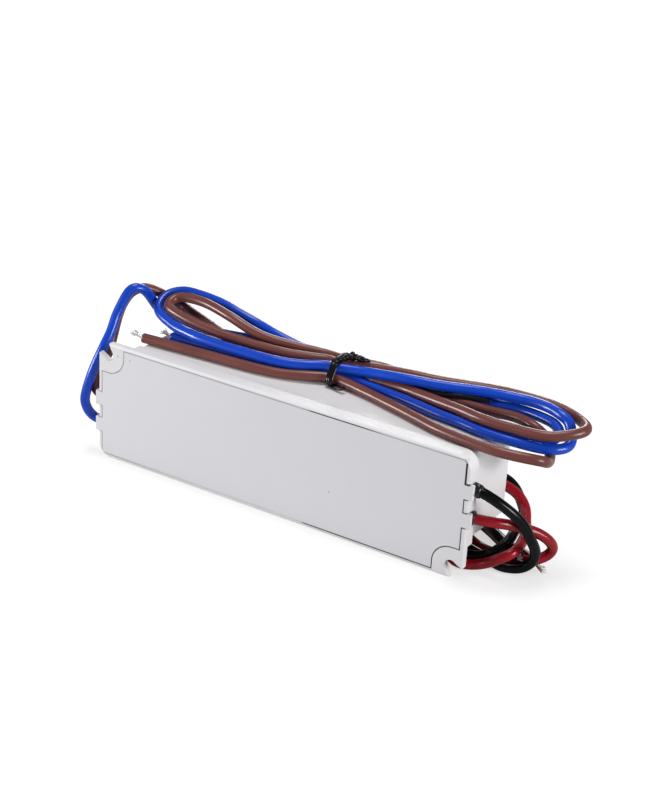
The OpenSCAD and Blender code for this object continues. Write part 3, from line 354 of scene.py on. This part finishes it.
def bare_strands(name, line, length, lift, seed):
    """Sixteen fine wires that leave a cut end together. Each is a line that turns slowly round the bundle,
    nearer in at the waist and further out at the tip, and the wires differ in reach, turn and stray. The
    bundle leans upwards by the lift, in degrees."""
    wires, rows, sides = 16, 18, 7
    wire_r, bundle_r, rooted, stray_r = 0.1 * MM, 0.58 * MM, 0.8 * MM, 0.22 * MM
    apart, twist, uneven_twist, shortest, end_share = 2.4, 3.4, 0.25, 0.72, 0.55
    random = np.random.default_rng(seed)
    tangent = unit(np.gradient(line, axis=0))[-1]
    lean = math.radians(lift)
    ahead = unit(tangent * math.cos(lean) + np.array([0, 0, 1]) * math.sin(lean))
    side = unit(np.cross((0, 0, 1), ahead))
    up = np.cross(ahead, side)
    number = np.arange(wires)[:, None]
    s = np.linspace(0, 1, rows)[None, :]
    reach = length * (shortest + (1 - shortest) * random.random((wires, 1)))
    stray = random.normal(0, stray_r, (wires, 2, 1)) * s[:, None, :] ** 2
    turn = apart * number + twist * s + uneven_twist * random.normal(size=(wires, 1)) * s
    waist = 1 - 0.3 * np.sin(math.pi * np.minimum(s * 1.4, 1)) + 0.5 * s**3
    spread = bundle_r * np.sqrt((number + 0.5) / wires) * waist
    across = np.stack([spread * np.cos(turn) + stray[:, 0], spread * np.sin(turn) + stray[:, 1]], -1)
    root = line[-1] - tangent * rooted
    along = (reach + rooted) * s
    centre = root + along[..., None] * ahead + across[..., :1] * side + across[..., 1:] * up
    taper = np.where(np.isin(np.arange(rows), (0, rows - 1)), end_share, 1.0)[:, None, None]
    circle = round_section(sides)
    rings = centre[:, :, None] + wire_r * taper * (circle[:, :1] * side + circle[:, 1:] * up)
    parts = [closed_tube(ring, middle[0], middle[-1]) for ring, middle in zip(rings, centre)]
    return piece(name, *joined(parts), tinned, "tinned_copper")


def lead(name, route, colours, roughness, gloss, bare, lift, seed):
    """One lead with its bare strands, which leaves the case at its notch, in place of the CAD's lead and
    strands.
    """
    line = smooth_line(route, ring_step)
    strands = bare_strands(f"{name}_wires", line, bare, lift, seed)
    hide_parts(f"{name}_strands")
    tube = insulation(f"{name}_insulation", line, vinyl(f"{name}_insulation", *colours, roughness, gloss))
    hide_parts(f"{name}_lead")


lead("blue", blue_route, ((0.002, 0.041, 0.42), (0.003, 0.066, 0.58)), roughness=0.24, gloss=0.42,
    bare=4.5 * MM, lift=14, seed=3)
lead("brown", brown_route, ((0.11, 0.031, 0.026), (0.195, 0.06, 0.049)), roughness=0.28, gloss=0.42,
    bare=4.5 * MM, lift=12, seed=5)
lead("red", red_route, ((0.2, 0.002, 0.007), (0.39, 0.004, 0.013)), roughness=0.22, gloss=0.4,
    bare=6 * MM, lift=0, seed=7)
lead("black", black_route, ((0.001, 0.001, 0.002), (0.003, 0.003, 0.004)), roughness=0.17, gloss=0.2,
    bare=2.2 * MM, lift=2, seed=9)


# Case and cover: white moulded plastic with a fine spark-eroded grain, the cover a shade greyer.
# The cover is a flat plate that lies in the open side, held by the compound behind it.
def moulded_marks():
    """Group for moulded pieces: a fine grain and slow patches, two noises of the place on the object."""
    counts = {"Grain": 3200.0, "Patches": 45.0}
    tree, given, out = node_group("moulded_marks", counts, counts)
    place = object_place(tree)
    tree.links.new(noise(tree, place, given["Grain"], detail=4.0, roughness=0.55), out["Grain"])
    tree.links.new(noise(tree, place, given["Patches"], detail=3.0), out["Patches"])
    return tree


moulding_group = moulded_marks()


def moulded(slot, dark, light, roughness, depth, grain=3200.0, patches=45.0, **settings):
    """Moulded or dipped finish: colour and gloss drift a little in patches, over a grain of given depth."""
    material, tree, shader = new_material(slot, **settings)
    group = {"node_tree": moulding_group}
    marks = add_node(tree, "ShaderNodeGroup", group, Grain=grain, Patches=patches).outputs
    shade_between(tree, shader, marks["Patches"], dark, light)
    rough_between(tree, shader, marks["Patches"], roughness - 0.04, roughness + 0.05)
    bumped(tree, shader, marks["Grain"], depth)
    return material


def calc(tree, operation, *values):
    """Result of one mathematical operation on values or sockets."""
    inputs = {f"_{i}": value for i, value in enumerate(values)}
    return add_node(tree, "ShaderNodeMath", {"operation": operation}, **inputs).outputs[0]


def corner_distance(tree, across, up):
    """Length of the slope between two distances that are square to each other."""
    slope = add_node(tree, "ShaderNodeCombineXYZ", X=across, Y=up).outputs[0]
    return add_node(tree, "ShaderNodeVectorMath", {"operation": "LENGTH"}, _0=slope).outputs["Value"]


# Measures of the cover in front view, in mm, with the screw ear low at the right end.
front_y, middle_z = -13.0, 17.5
plate_x, plate_z, plate_corner = 57.8, 16.55, 1.0
tongues_z, tongue_apart, tongue_half, tongue_start = 21.4, 4.0, 2.15, 50.0
ear_x, ear_z, ear_r = 55.6, 3.4, 5.45
seam_half, seam_fade = 0.11, 0.09
spots_at = ((-52.2, 32.1), (-48.0, 31.8), (18.3, 12.6))
spot_r, spot_fade = 0.15, 0.25


def cover_edge(tree, x, z):
    """Signed distance in mm from the cover's outline in front view: the plate joined to its two tongues, less
    the round land of the ear. The left end is the right one turned upside down."""
    def do(operation, *values):
        return calc(tree, operation, *values)

    out_x = do("ABSOLUTE", x)
    above_middle = do("SUBTRACT", z, middle_z)
    same_z = do("ADD", do("MULTIPLY", above_middle, do("SIGN", x)), middle_z)
    past_end = do("MAXIMUM", do("SUBTRACT", out_x, plate_x - plate_corner), 0.0)
    past_side = do("MAXIMUM", do("SUBTRACT", do("ABSOLUTE", above_middle), plate_z - plate_corner), 0.0)
    plate = do("SUBTRACT", corner_distance(tree, past_end, past_side), plate_corner)
    from_tongues = do("ABSOLUTE", do("SUBTRACT", same_z, tongues_z))
    from_tongue = do("ABSOLUTE", do("SUBTRACT", from_tongues, tongue_apart))
    tongue = do("MAXIMUM", do("SUBTRACT", from_tongue, tongue_half), do("SUBTRACT", tongue_start, out_x))
    left_of_ear = do("MAXIMUM", do("SUBTRACT", ear_x, out_x), 0.0)
    above_ear = do("MAXIMUM", do("SUBTRACT", same_z, ear_z), 0.0)
    ear = do("SUBTRACT", ear_r, corner_distance(tree, left_of_ear, above_ear))
    return do("MAXIMUM", do("MINIMUM", plate, tongue), ear)


def seam_darkness(tree, x, z):
    """How dark the seam line is at a place in mm: fully round the output end and along the output half of the
    foot, and on the top from the tie to where it fades out. It is faint elsewhere above the foot, and a
    little less so at the left end."""
    def above(value, limit):
        return calc(tree, "GREATER_THAN", value, limit)

    def both(first, second):
        return calc(tree, "MINIMUM", first, second)

    foot_z, top_z, end_x, end_z = 5.0, 30.0, 44.0, 33.3
    tie_x, fading_x, left_x = (9.5, 11.5), (27.0, 37.0), (-50.0, -25.0)
    faint_share, left_share = 0.3, 0.4
    at_output_end = both(above(x, end_x), calc(tree, "LESS_THAN", z, end_z))
    past_tie = ramp(tree, x, *tie_x, 0.0, 1.0)
    on_top = both(both(past_tie, ramp(tree, x, *fading_x, 1.0, 0.0)), above(z, top_z))
    on_foot = both(past_tie, calc(tree, "LESS_THAN", z, foot_z))
    faint = calc(tree, "MULTIPLY", above(z, foot_z), faint_share)
    darkness = ramp(tree, x, *left_x, left_share, 0.0)
    for part in (faint, at_output_end, on_top, on_foot):
        darkness = calc(tree, "MAXIMUM", darkness, part)
    return darkness


def seam_marks():
    """Group for the dark line in the seam between case and cover, and for small grey spots on the cover. The
    line follows the cover's outline, shows on the front alone, and is wider at the upper corner of the
    output end."""
    tree, _, out = node_group("seam_marks", {}, ["Seam", "Spots"])
    place = object_place(tree)
    in_mm = add_node(tree, "ShaderNodeVectorMath", {"operation": "SCALE"}, _0=place, Scale=1 / MM).outputs[0]
    x, y, z = add_node(tree, "ShaderNodeSeparateXYZ", Vector=in_mm).outputs
    wide_x, wide_z, wider = 57.0, 25.0, 0.12
    end_face_x, behind_y = 58.98, -11.4
    wide = calc(tree, "MINIMUM", calc(tree, "GREATER_THAN", x, wide_x), calc(tree, "GREATER_THAN", z, wide_z))
    from_seam = calc(tree, "ABSOLUTE", cover_edge(tree, x, z))
    from_seam = calc(tree, "SUBTRACT", from_seam, calc(tree, "MULTIPLY", wide, wider))
    line = ramp(tree, from_seam, seam_half, seam_half + seam_fade, 1.0, 0.0)
    seam = calc(tree, "MULTIPLY", line, seam_darkness(tree, x, z))
    for measure, limit in ((calc(tree, "ABSOLUTE", x), end_face_x), (y, behind_y)):
        seam = calc(tree, "MULTIPLY", seam, calc(tree, "LESS_THAN", measure, limit))
    tree.links.new(seam, out["Seam"])
    spots = 0.0
    for spot_x, spot_z in spots_at:
        away = add_node(tree, "ShaderNodeVectorMath", {"operation": "DISTANCE"}, _0=in_mm,
            _1=(spot_x, front_y, spot_z)).outputs["Value"]
        spot = ramp(tree, away, spot_r, spot_r + spot_fade, 1.0, 0.0)
        spots = calc(tree, "MAXIMUM", spots, spot)
    tree.links.new(spots, out["Spots"])
    return tree


seam_group = seam_marks()


def seamed(material):
    """Darkens a moulded finish with the grey spots and with a dark line along the seam."""
    spot_share, spot_grey, seam_black = 0.45, (0.2, 0.2, 0.22), (0.012, 0.012, 0.013)
    tree = material.node_tree
    colour = tree.nodes["Principled BSDF"].inputs["Base Color"]
    marks = add_node(tree, "ShaderNodeGroup", {"node_tree": seam_group}).outputs
    spots = calc(tree, "MULTIPLY", marks["Spots"], spot_share)
    spotted = blend(tree, spots, colour.links[0].from_socket, spot_grey)
    tree.links.new(blend(tree, marks["Seam"], spotted, seam_black), colour)
    return material


def dress(material, *names):
    """Gives a finish to nodes that keep their own shape."""
    for name in names:
        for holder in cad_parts[name].material_slots:
            holder.material = material


dress(seamed(moulded("white_case", (0.755, 0.742, 0.757), (0.79, 0.777, 0.792), roughness=0.4,
    depth=0.012 * MM)), "case")
dress(seamed(moulded("cover_plate", (0.72, 0.71, 0.745), (0.75, 0.74, 0.775), roughness=0.46,
    depth=0.015 * MM)), "cover")

# Compound: black resin that fills the case. It fills each notch round its lead too, and has run out a little
# further there: a lump at the black lead, and a thin ring at each of the other three.
tongue_end = 60 * MM
compound_finish = moulded("dark_compound", (0.008, 0.008, 0.009), (0.014, 0.014, 0.015), roughness=0.16,
    depth=0.05 * MM, grain=700.0)
dress(compound_finish, "potting_compound", "exit_sealant")


def bead(route, reach, bulge, seed):
    """Lumpy collar round a lead where it leaves its notch, as far as a reach past the tongue's end. Its
    radius is the lead's plus the bulge, which is waved round and along it and falls off like a quarter
    ellipse. On the side of the tongue it keeps the lead's as far as the tongue's end."""
    rows, columns, waviness, tongue_share = 18, 36, 0.5, 1.6
    inside, clear_length, deepest, tip_depth = 1.0 * MM, 0.25 * MM, 0.1 * MM, 0.15 * MM
    end = math.copysign(1, route[0][0])
    exit_y, exit_z = route[0][1] * MM, route[0][2] * MM
    random = np.random.default_rng(seed)
    s = np.linspace(0, 1, rows)[:, None]
    a = np.arange(columns)[None] * 2 * math.pi / columns
    phase = random.random((4, 1, 1)) * 2 * math.pi
    waves = sum(np.sin((k + 2) * a + phase[k] + 3 * s * (k - 1)) / (k + 2) for k in range(4))
    out = tongue_end - inside + s * (reach + inside)
    clear = np.clip((out - tongue_end) / clear_length, 0, 1)
    tongue_side = np.clip(-np.cos(a) * tongue_share, 0, 1)
    swell = bulge * np.sqrt(1 - s**2) * (1 + waviness * waves) * (1 - tongue_side * (1 - clear))
    radius = np.maximum(lead_r + swell, lead_r - deepest)
    radius[-1] = lead_r - tip_depth
    x = np.broadcast_to(out, radius.shape) * end
    rings = np.stack([x, exit_y + radius * np.cos(a), exit_z + radius * np.sin(a)], -1)
    middles = [(end * far, exit_y, exit_z) for far in (tongue_end - inside, tongue_end + reach)]
    points, faces = closed_tube(rings, *middles)
    return points, faces if end > 0 else [face[:, ::-1] for face in faces]


beads = [bead(black_route, reach=1.3 * MM, bulge=0.5 * MM, seed=2),
    bead(red_route, reach=0.45 * MM, bulge=0.2 * MM, seed=3),
    bead(brown_route, reach=0.4 * MM, bulge=0.2 * MM, seed=4),
    bead(blue_route, reach=0.4 * MM, bulge=0.2 * MM, seed=5)]
piece("exit_beads", *joined(beads), compound_finish, "dark_compound")


# Circuit board: glass cloth laminate under a green mask, with the weave just showing.
# It stands on posts in the case, sunk in the compound.
def waves_across(tree, direction, scale, **inputs):
    """Even waves of the place across one direction of the object, from 0 to 1."""
    place = object_place(tree)
    bands = {"bands_direction": direction}
    return add_node(tree, "ShaderNodeTexWave", bands, Vector=place, Scale=scale, **inputs).outputs["Fac"]


def laminate():
    """Green board with the crossing threads of its glass cloth, two wave patterns at right angles."""
    material, tree, shader = new_material("board_laminate", Coat_Weight=0.25)
    warp, weft = (waves_across(tree, way, scale=650.0, Distortion=0.6) for way in ("X", "Z"))
    weave = calc(tree, "MULTIPLY", warp, weft)
    shade_between(tree, shader, weave, (0.008, 0.09, 0.03), (0.02, 0.16, 0.06))
    rough_between(tree, shader, weave, low=0.34, high=0.46)
    bumped(tree, shader, weave, distance=0.02 * MM)
    return material


dress(laminate(), "circuit_board")

# Moulded and dipped components on the board, sunk in the compound and seen only when the unit is cut open.
# Each kind has the plain colour of its real case.
dress(moulded("moulded_brown", (0.11, 0.04, 0.02), (0.16, 0.06, 0.03), roughness=0.4, depth=0.01 * MM),
    "fuse")
dress(moulded("dark_ceramic", (0.03, 0.04, 0.04), (0.05, 0.06, 0.06), roughness=0.45, depth=0.03 * MM,
    grain=900.0), "inrush_thermistor")
dress(moulded("dipped_blue", (0.01, 0.06, 0.3), (0.02, 0.1, 0.4), roughness=0.3, depth=0.03 * MM,
    grain=900.0), "surge_varistor", "safety_capacitor")
dress(moulded("moulded_yellow", (0.6, 0.36, 0.03), (0.72, 0.46, 0.06), roughness=0.4, depth=0.01 * MM),
    "filter_capacitor")
dress(moulded("moulded_black", (0.012, 0.012, 0.013), (0.024, 0.024, 0.026), roughness=0.5,
    depth=0.015 * MM, grain=2400.0), "bridge_rectifier", "switching_controller", "choke_bobbin",
    "transformer_bobbin", "voltage_reference", "output_rectifier")
dress(moulded("moulded_ivory", (0.62, 0.58, 0.46), (0.7, 0.66, 0.54), roughness=0.42, depth=0.01 * MM),
    "optocoupler")
dress(moulded("resistor_coat", (0.08, 0.12, 0.16), (0.12, 0.17, 0.22), roughness=0.38, depth=0.03 * MM,
    grain=1100.0), "clamp_resistor")
dress(moulded("ferrite", (0.03, 0.03, 0.032), (0.075, 0.075, 0.08), roughness=0.42, depth=0.02 * MM,
    grain=1500.0, patches=900.0, Metallic=0.35), "choke_core", "transformer_core", "output_choke")


# Windings, cans and terminals: enamelled copper and a layer of tape show their turns as fine ridges, the
# drawn aluminium can its lathe lines, each painted darker in its grooves and lighter on its crests as painted
# shade. The capacitors have shrunk sleeves, and the terminals are tinned.
def ridge_marks():
    """Group for even ridges across the object's X or Y, slightly wavering waves of the place."""
    tree, given, out = node_group("ridge_marks", {"Scale": 1000.0}, ["Across X", "Across Y"])
    for way in ("X", "Y"):
        ridges = waves_across(tree, way, given["Scale"], Distortion=0.4, Detail=1.0)
        tree.links.new(ridges, out[f"Across {way}"])
    return tree


ridge_group = ridge_marks()


def ridged(slot, way, pitch, dark, light, roughness, depth, **settings):
    """Finish with even ridges across one way of the object, a pitch apart in metres. Its colour is painted
    dark in the grooves and light on the crests, as painted shade. At a scale of 1 the waves are the unscaled
    pitch apart."""
    unscaled_pitch = 0.31416
    material, tree, shader = new_material(slot, **settings)
    group = {"node_tree": ridge_group}
    marks = add_node(tree, "ShaderNodeGroup", group, Scale=unscaled_pitch / pitch).outputs
    turns = marks[f"Across {way}"]
    # Painted shade: dark colour in the grooves between ridges, light colour on their crests.
    shade_between(tree, shader, turns, dark, light)
    rough_between(tree, shader, turns, roughness + 0.08, roughness - 0.05)
    bumped(tree, shader, turns, depth)
    return material


dress(ridged("enamelled_wire", "Y", 0.35 * MM, (0.2, 0.06, 0.02), (0.72, 0.27, 0.1), roughness=0.3,
    depth=0.08 * MM, Metallic=0.8), "choke_windings")
dress(ridged("winding_tape", "Y", 3.0 * MM, (0.62, 0.4, 0.05), (0.74, 0.5, 0.09), roughness=0.26,
    depth=0.03 * MM), "transformer_windings")
dress(ridged("can_aluminium", "X", 0.12 * MM, (0.6, 0.6, 0.61), (0.8, 0.8, 0.81), roughness=0.3,
    depth=0.004 * MM, Metallic=1.0), "bulk_capacitor")
dress(moulded("shrunk_sleeve", (0.008, 0.014, 0.06), (0.014, 0.022, 0.09), roughness=0.28,
    depth=0.01 * MM), "bulk_capacitor_sleeve", "supply_capacitor", "output_capacitors")
dress(tinned, "lead_terminals")

# Twist tie: a flat strip of black plastic over a soft wire. It is wound tightly round the hank, and its ends
# are twisted into a short tail on top. One end curls out below, and one runs on between the leads.
tie_w, tie_t = 1.25 * MM, 0.5 * MM
twisted_w = 1.0 * MM
case_top = 34.1 * MM
lying_z = case_top + tie_t / 2 + 0.01 * MM
upper_leads_z = 38.5 * MM
# Middles of the four outer leads under the tie, as across and up.
held = np.array([(3.7, 35.9), (16.6, 35.9), (12.8, 38.5), (5.9, 38.5)]) * MM
tail_route = [(6.4, 5.2, 40.5), (7.3, 7.4, 40.9), (8.4, 9.3, 41.1), (9.7, 10.2, 41.3), (11.9, 10.2, 41.2),
    (14.4, 10.3, 41.2)]
curl_route = [(6.2, 3.5, 34.3), (7.6, 2.6, 34.4), (9.4, 1.9, 34.6), (11.2, 1.5, 34.9), (12.2, 1.6, 35.4),
    (11.9, 2.1, 35.8)]
long_end_route = [(14, 12.2, 37.1), (20, 11.7, 37.2), (26, 11.3, 37.9), (32.5, 9.8, 37.8), (38.6, 10, 38.5),
    (44.5, 11.4, 38.8), (50.3, 12.5, 39)]


def ribbon(line, out, width=tie_w):
    """Points and faces of a strip along a line, flat side towards out. Its section is a flattened oval,
    thinned away from the middle, where the wire is."""
    sides, flatness, edge_share, wire_falloff = 14, 0.7, 0.55, 2.4
    tangent = unit(np.gradient(line, axis=0))
    out = unit(out - (out * tangent).sum(1, keepdims=True) * tangent)
    across = np.cross(out, tangent)
    cos, sin = round_section(sides).T
    u = width / 2 * np.sign(cos) * np.abs(cos) ** flatness
    v = tie_t / 2 * sin * (edge_share + (1 - edge_share) * np.exp(-((wire_falloff * cos) ** 2)))
    rings = line[:, None] + u[:, None] * across[:, None] + v[:, None] * out[:, None]
    return closed_tube(rings, line[0], line[-1])


def wrap(turns, first_x, last_x, lift):
    """Strip wound round the held leads. The outline is, for each direction, the furthest axis plus the radius
    of a lead and the lift, and the strip steps sideways evenly as it goes round. It leans with height, lies
    on the case's top at the lowest, and tilts to and fro."""
    directions, turn_points, start_share = 241, 110, 0.3
    lean, tilt, tilts_per_turn = 0.08, 0.35, 2.3
    a = np.linspace(0, 2 * math.pi, directions)
    ways = np.stack([np.cos(a), np.sin(a)], 1)
    outline = held[np.argmax(held @ ways.T, axis=0)] + (lead_r + lift) * ways
    run = distance_along(outline)
    t = np.linspace(0, turns, int(turn_points * turns))
    at = ((start_share - t) % 1.0) * run[-1]
    y, z, out_y, out_z = (np.interp(at, run, values) for values in (*outline.T, *ways.T))
    x = first_x + (last_x - first_x) * t / turns - lean * (z - upper_leads_z)
    line = evened(np.stack([x, y, np.maximum(z, lying_z)], 1), 4)
    out_x = tilt * np.sin(2 * math.pi * tilts_per_turn * t)
    return ribbon(line, np.stack([out_x, out_y, out_z], 1))


def twisted_pair(route, pitch, spread):
    """Two strips twisted round each other along a route: each runs at the spread from it, opposite the other,
    turning once in every pitch, with its flat side outwards. The first stretch is not yet twisted. The spread
    grows towards the middle, shrinks to the tip and ripples."""
    step, untwisted, ripple_length, ripple = 0.08 * MM, 3.2 * MM, 0.42 * MM, 0.25
    spread_at, spread_share = np.array([0, 4, 6, 9, 11.5]) * MM, (1.2, 1.2, 1.6, 1.0, 0.5)
    line = smooth_line(route, step)
    _, side, up = carried_frame(line)
    run = np.linspace(0, step * len(line), len(line))
    turn = 2 * math.pi * np.maximum(run - untwisted, 0) / pitch
    wide = spread * np.interp(run, spread_at, spread_share) * (1 + ripple * np.sin(run / ripple_length))
    ways = [np.cos(turn + half)[:, None] * side + np.sin(turn + half)[:, None] * up for half in (0, math.pi)]
    return [ribbon(line + wide[:, None] * out, out, twisted_w) for out in ways]


def laid_strip(route, out):
    """One strip along a route, flat side towards out."""
    line = smooth_line(route, step=0.2 * MM)
    return ribbon(line, np.broadcast_to(np.array(out, float), line.shape))


strips = [wrap(turns=2.3, first_x=5.6 * MM, last_x=7.9 * MM, lift=0.3 * MM),
    *twisted_pair(tail_route, pitch=2.2 * MM, spread=0.55 * MM),
    laid_strip(curl_route, (0.3, 0.5, 1)), laid_strip(long_end_route, (0.1, -0.8, 0.6))]
tie_plastic = moulded("tie_plastic", (0.002, 0.002, 0.003), (0.005, 0.004, 0.006), roughness=0.2,
    depth=0.02 * MM, grain=1500.0, Specular_IOR_Level=0.32)
tie = piece("tie_strip", *joined(strips), tie_plastic, "tie_plastic")
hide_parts("twist_tie")


# Studio: a pale floor that keeps the shadow and turns white for the camera, soft lights overhead and low on
# the left, the right and behind, and a dim even surround.
gloss_share = 0.1
floor_grey, floor_half = 0.48, 3.0
shadow_r, far_r = 0.12, 0.7
added_near, added_far = 0.6, 1.0
surround_level = 0.15
lit_point = (0.0, 0.0, 0.02)


def seen_rays(tree):
    """1 for rays from the camera, and a share of it for rays off gloss or through glass."""
    path = add_node(tree, "ShaderNodeLightPath").outputs
    other = calc(tree, "MAXIMUM", path["Is Glossy Ray"], path["Is Transmission Ray"])
    return calc(tree, "MAXIMUM", path["Is Camera Ray"], calc(tree, "MULTIPLY", other, gloss_share))


def floor_material():
    """Matt pale floor. For seen rays a little plain white is added, more of it further out, so that the floor
    is white away from the shadow."""
    material = bpy.data.materials.new("studio_floor")
    material.use_nodes = True
    tree = material.node_tree
    tree.nodes.remove(tree.nodes["Principled BSDF"])
    paper = add_node(tree, "ShaderNodeBsdfDiffuse", Color=(floor_grey, floor_grey, floor_grey, 1))
    place = object_place(tree)
    away = add_node(tree, "ShaderNodeVectorMath", {"operation": "LENGTH"}, _0=place).outputs["Value"]
    added = ramp(tree, away, shadow_r, far_r, added_near, added_far, interpolation_type="SMOOTHSTEP")
    seen = calc(tree, "MULTIPLY", seen_rays(tree), added)
    white = add_node(tree, "ShaderNodeEmission", Color=(1, 1, 1, 1), Strength=seen)
    both = add_node(tree, "ShaderNodeAddShader", _0=paper.outputs[0], _1=white.outputs[0])
    tree.links.new(both.outputs[0], tree.nodes["Material Output"].inputs["Surface"])
    return material


floor_mesh = bpy.data.meshes.new("floor")
floor_corners = [(x * floor_half, y * floor_half, 0) for x, y in ((-1, -1), (1, -1), (1, 1), (-1, 1))]
floor_mesh.from_pydata(floor_corners, [], [(0, 1, 2, 3)])
floor_mesh.materials.append(floor_material())
floor = bpy.data.objects.new("floor", floor_mesh)
bpy.context.scene.collection.objects.link(floor)

world = bpy.data.worlds.new("surround")
bpy.context.scene.world = world
world.use_nodes = True
surround = world.node_tree
background = surround.nodes["Background"].inputs
background["Color"].default_value = (1, 1, 1, 1)
level = ramp(surround, seen_rays(surround), 0.0, 1.0, surround_level, 1.0)
surround.links.new(level, background["Strength"])


def soft_light(name, place, size, power):
    """Square area light at a place, turned to shine at the unit."""
    data = bpy.data.lights.new(name, "AREA")
    data.size = size
    data.energy = power
    lamp = bpy.data.objects.new(name, data)
    back = unit(np.subtract(place, lit_point))
    side = unit(np.cross((0, 0, 1), back))
    turn = np.stack([side, np.cross(back, side), back], 1)
    lamp.matrix_world = Matrix.Translation(place) @ Matrix(turn.tolist()).to_4x4()
    bpy.context.scene.collection.objects.link(lamp)


soft_light("overhead", (-0.1, 0.12, 1.0), size=0.4, power=5.1)
soft_light("behind", (-0.4, 0.9, 0.35), size=0.3, power=2.4)
soft_light("left", (-0.75, -0.6, 0.14), size=0.3, power=7.8)
soft_light("right", (0.95, -0.1, 0.28), size=0.35, power=7.0)
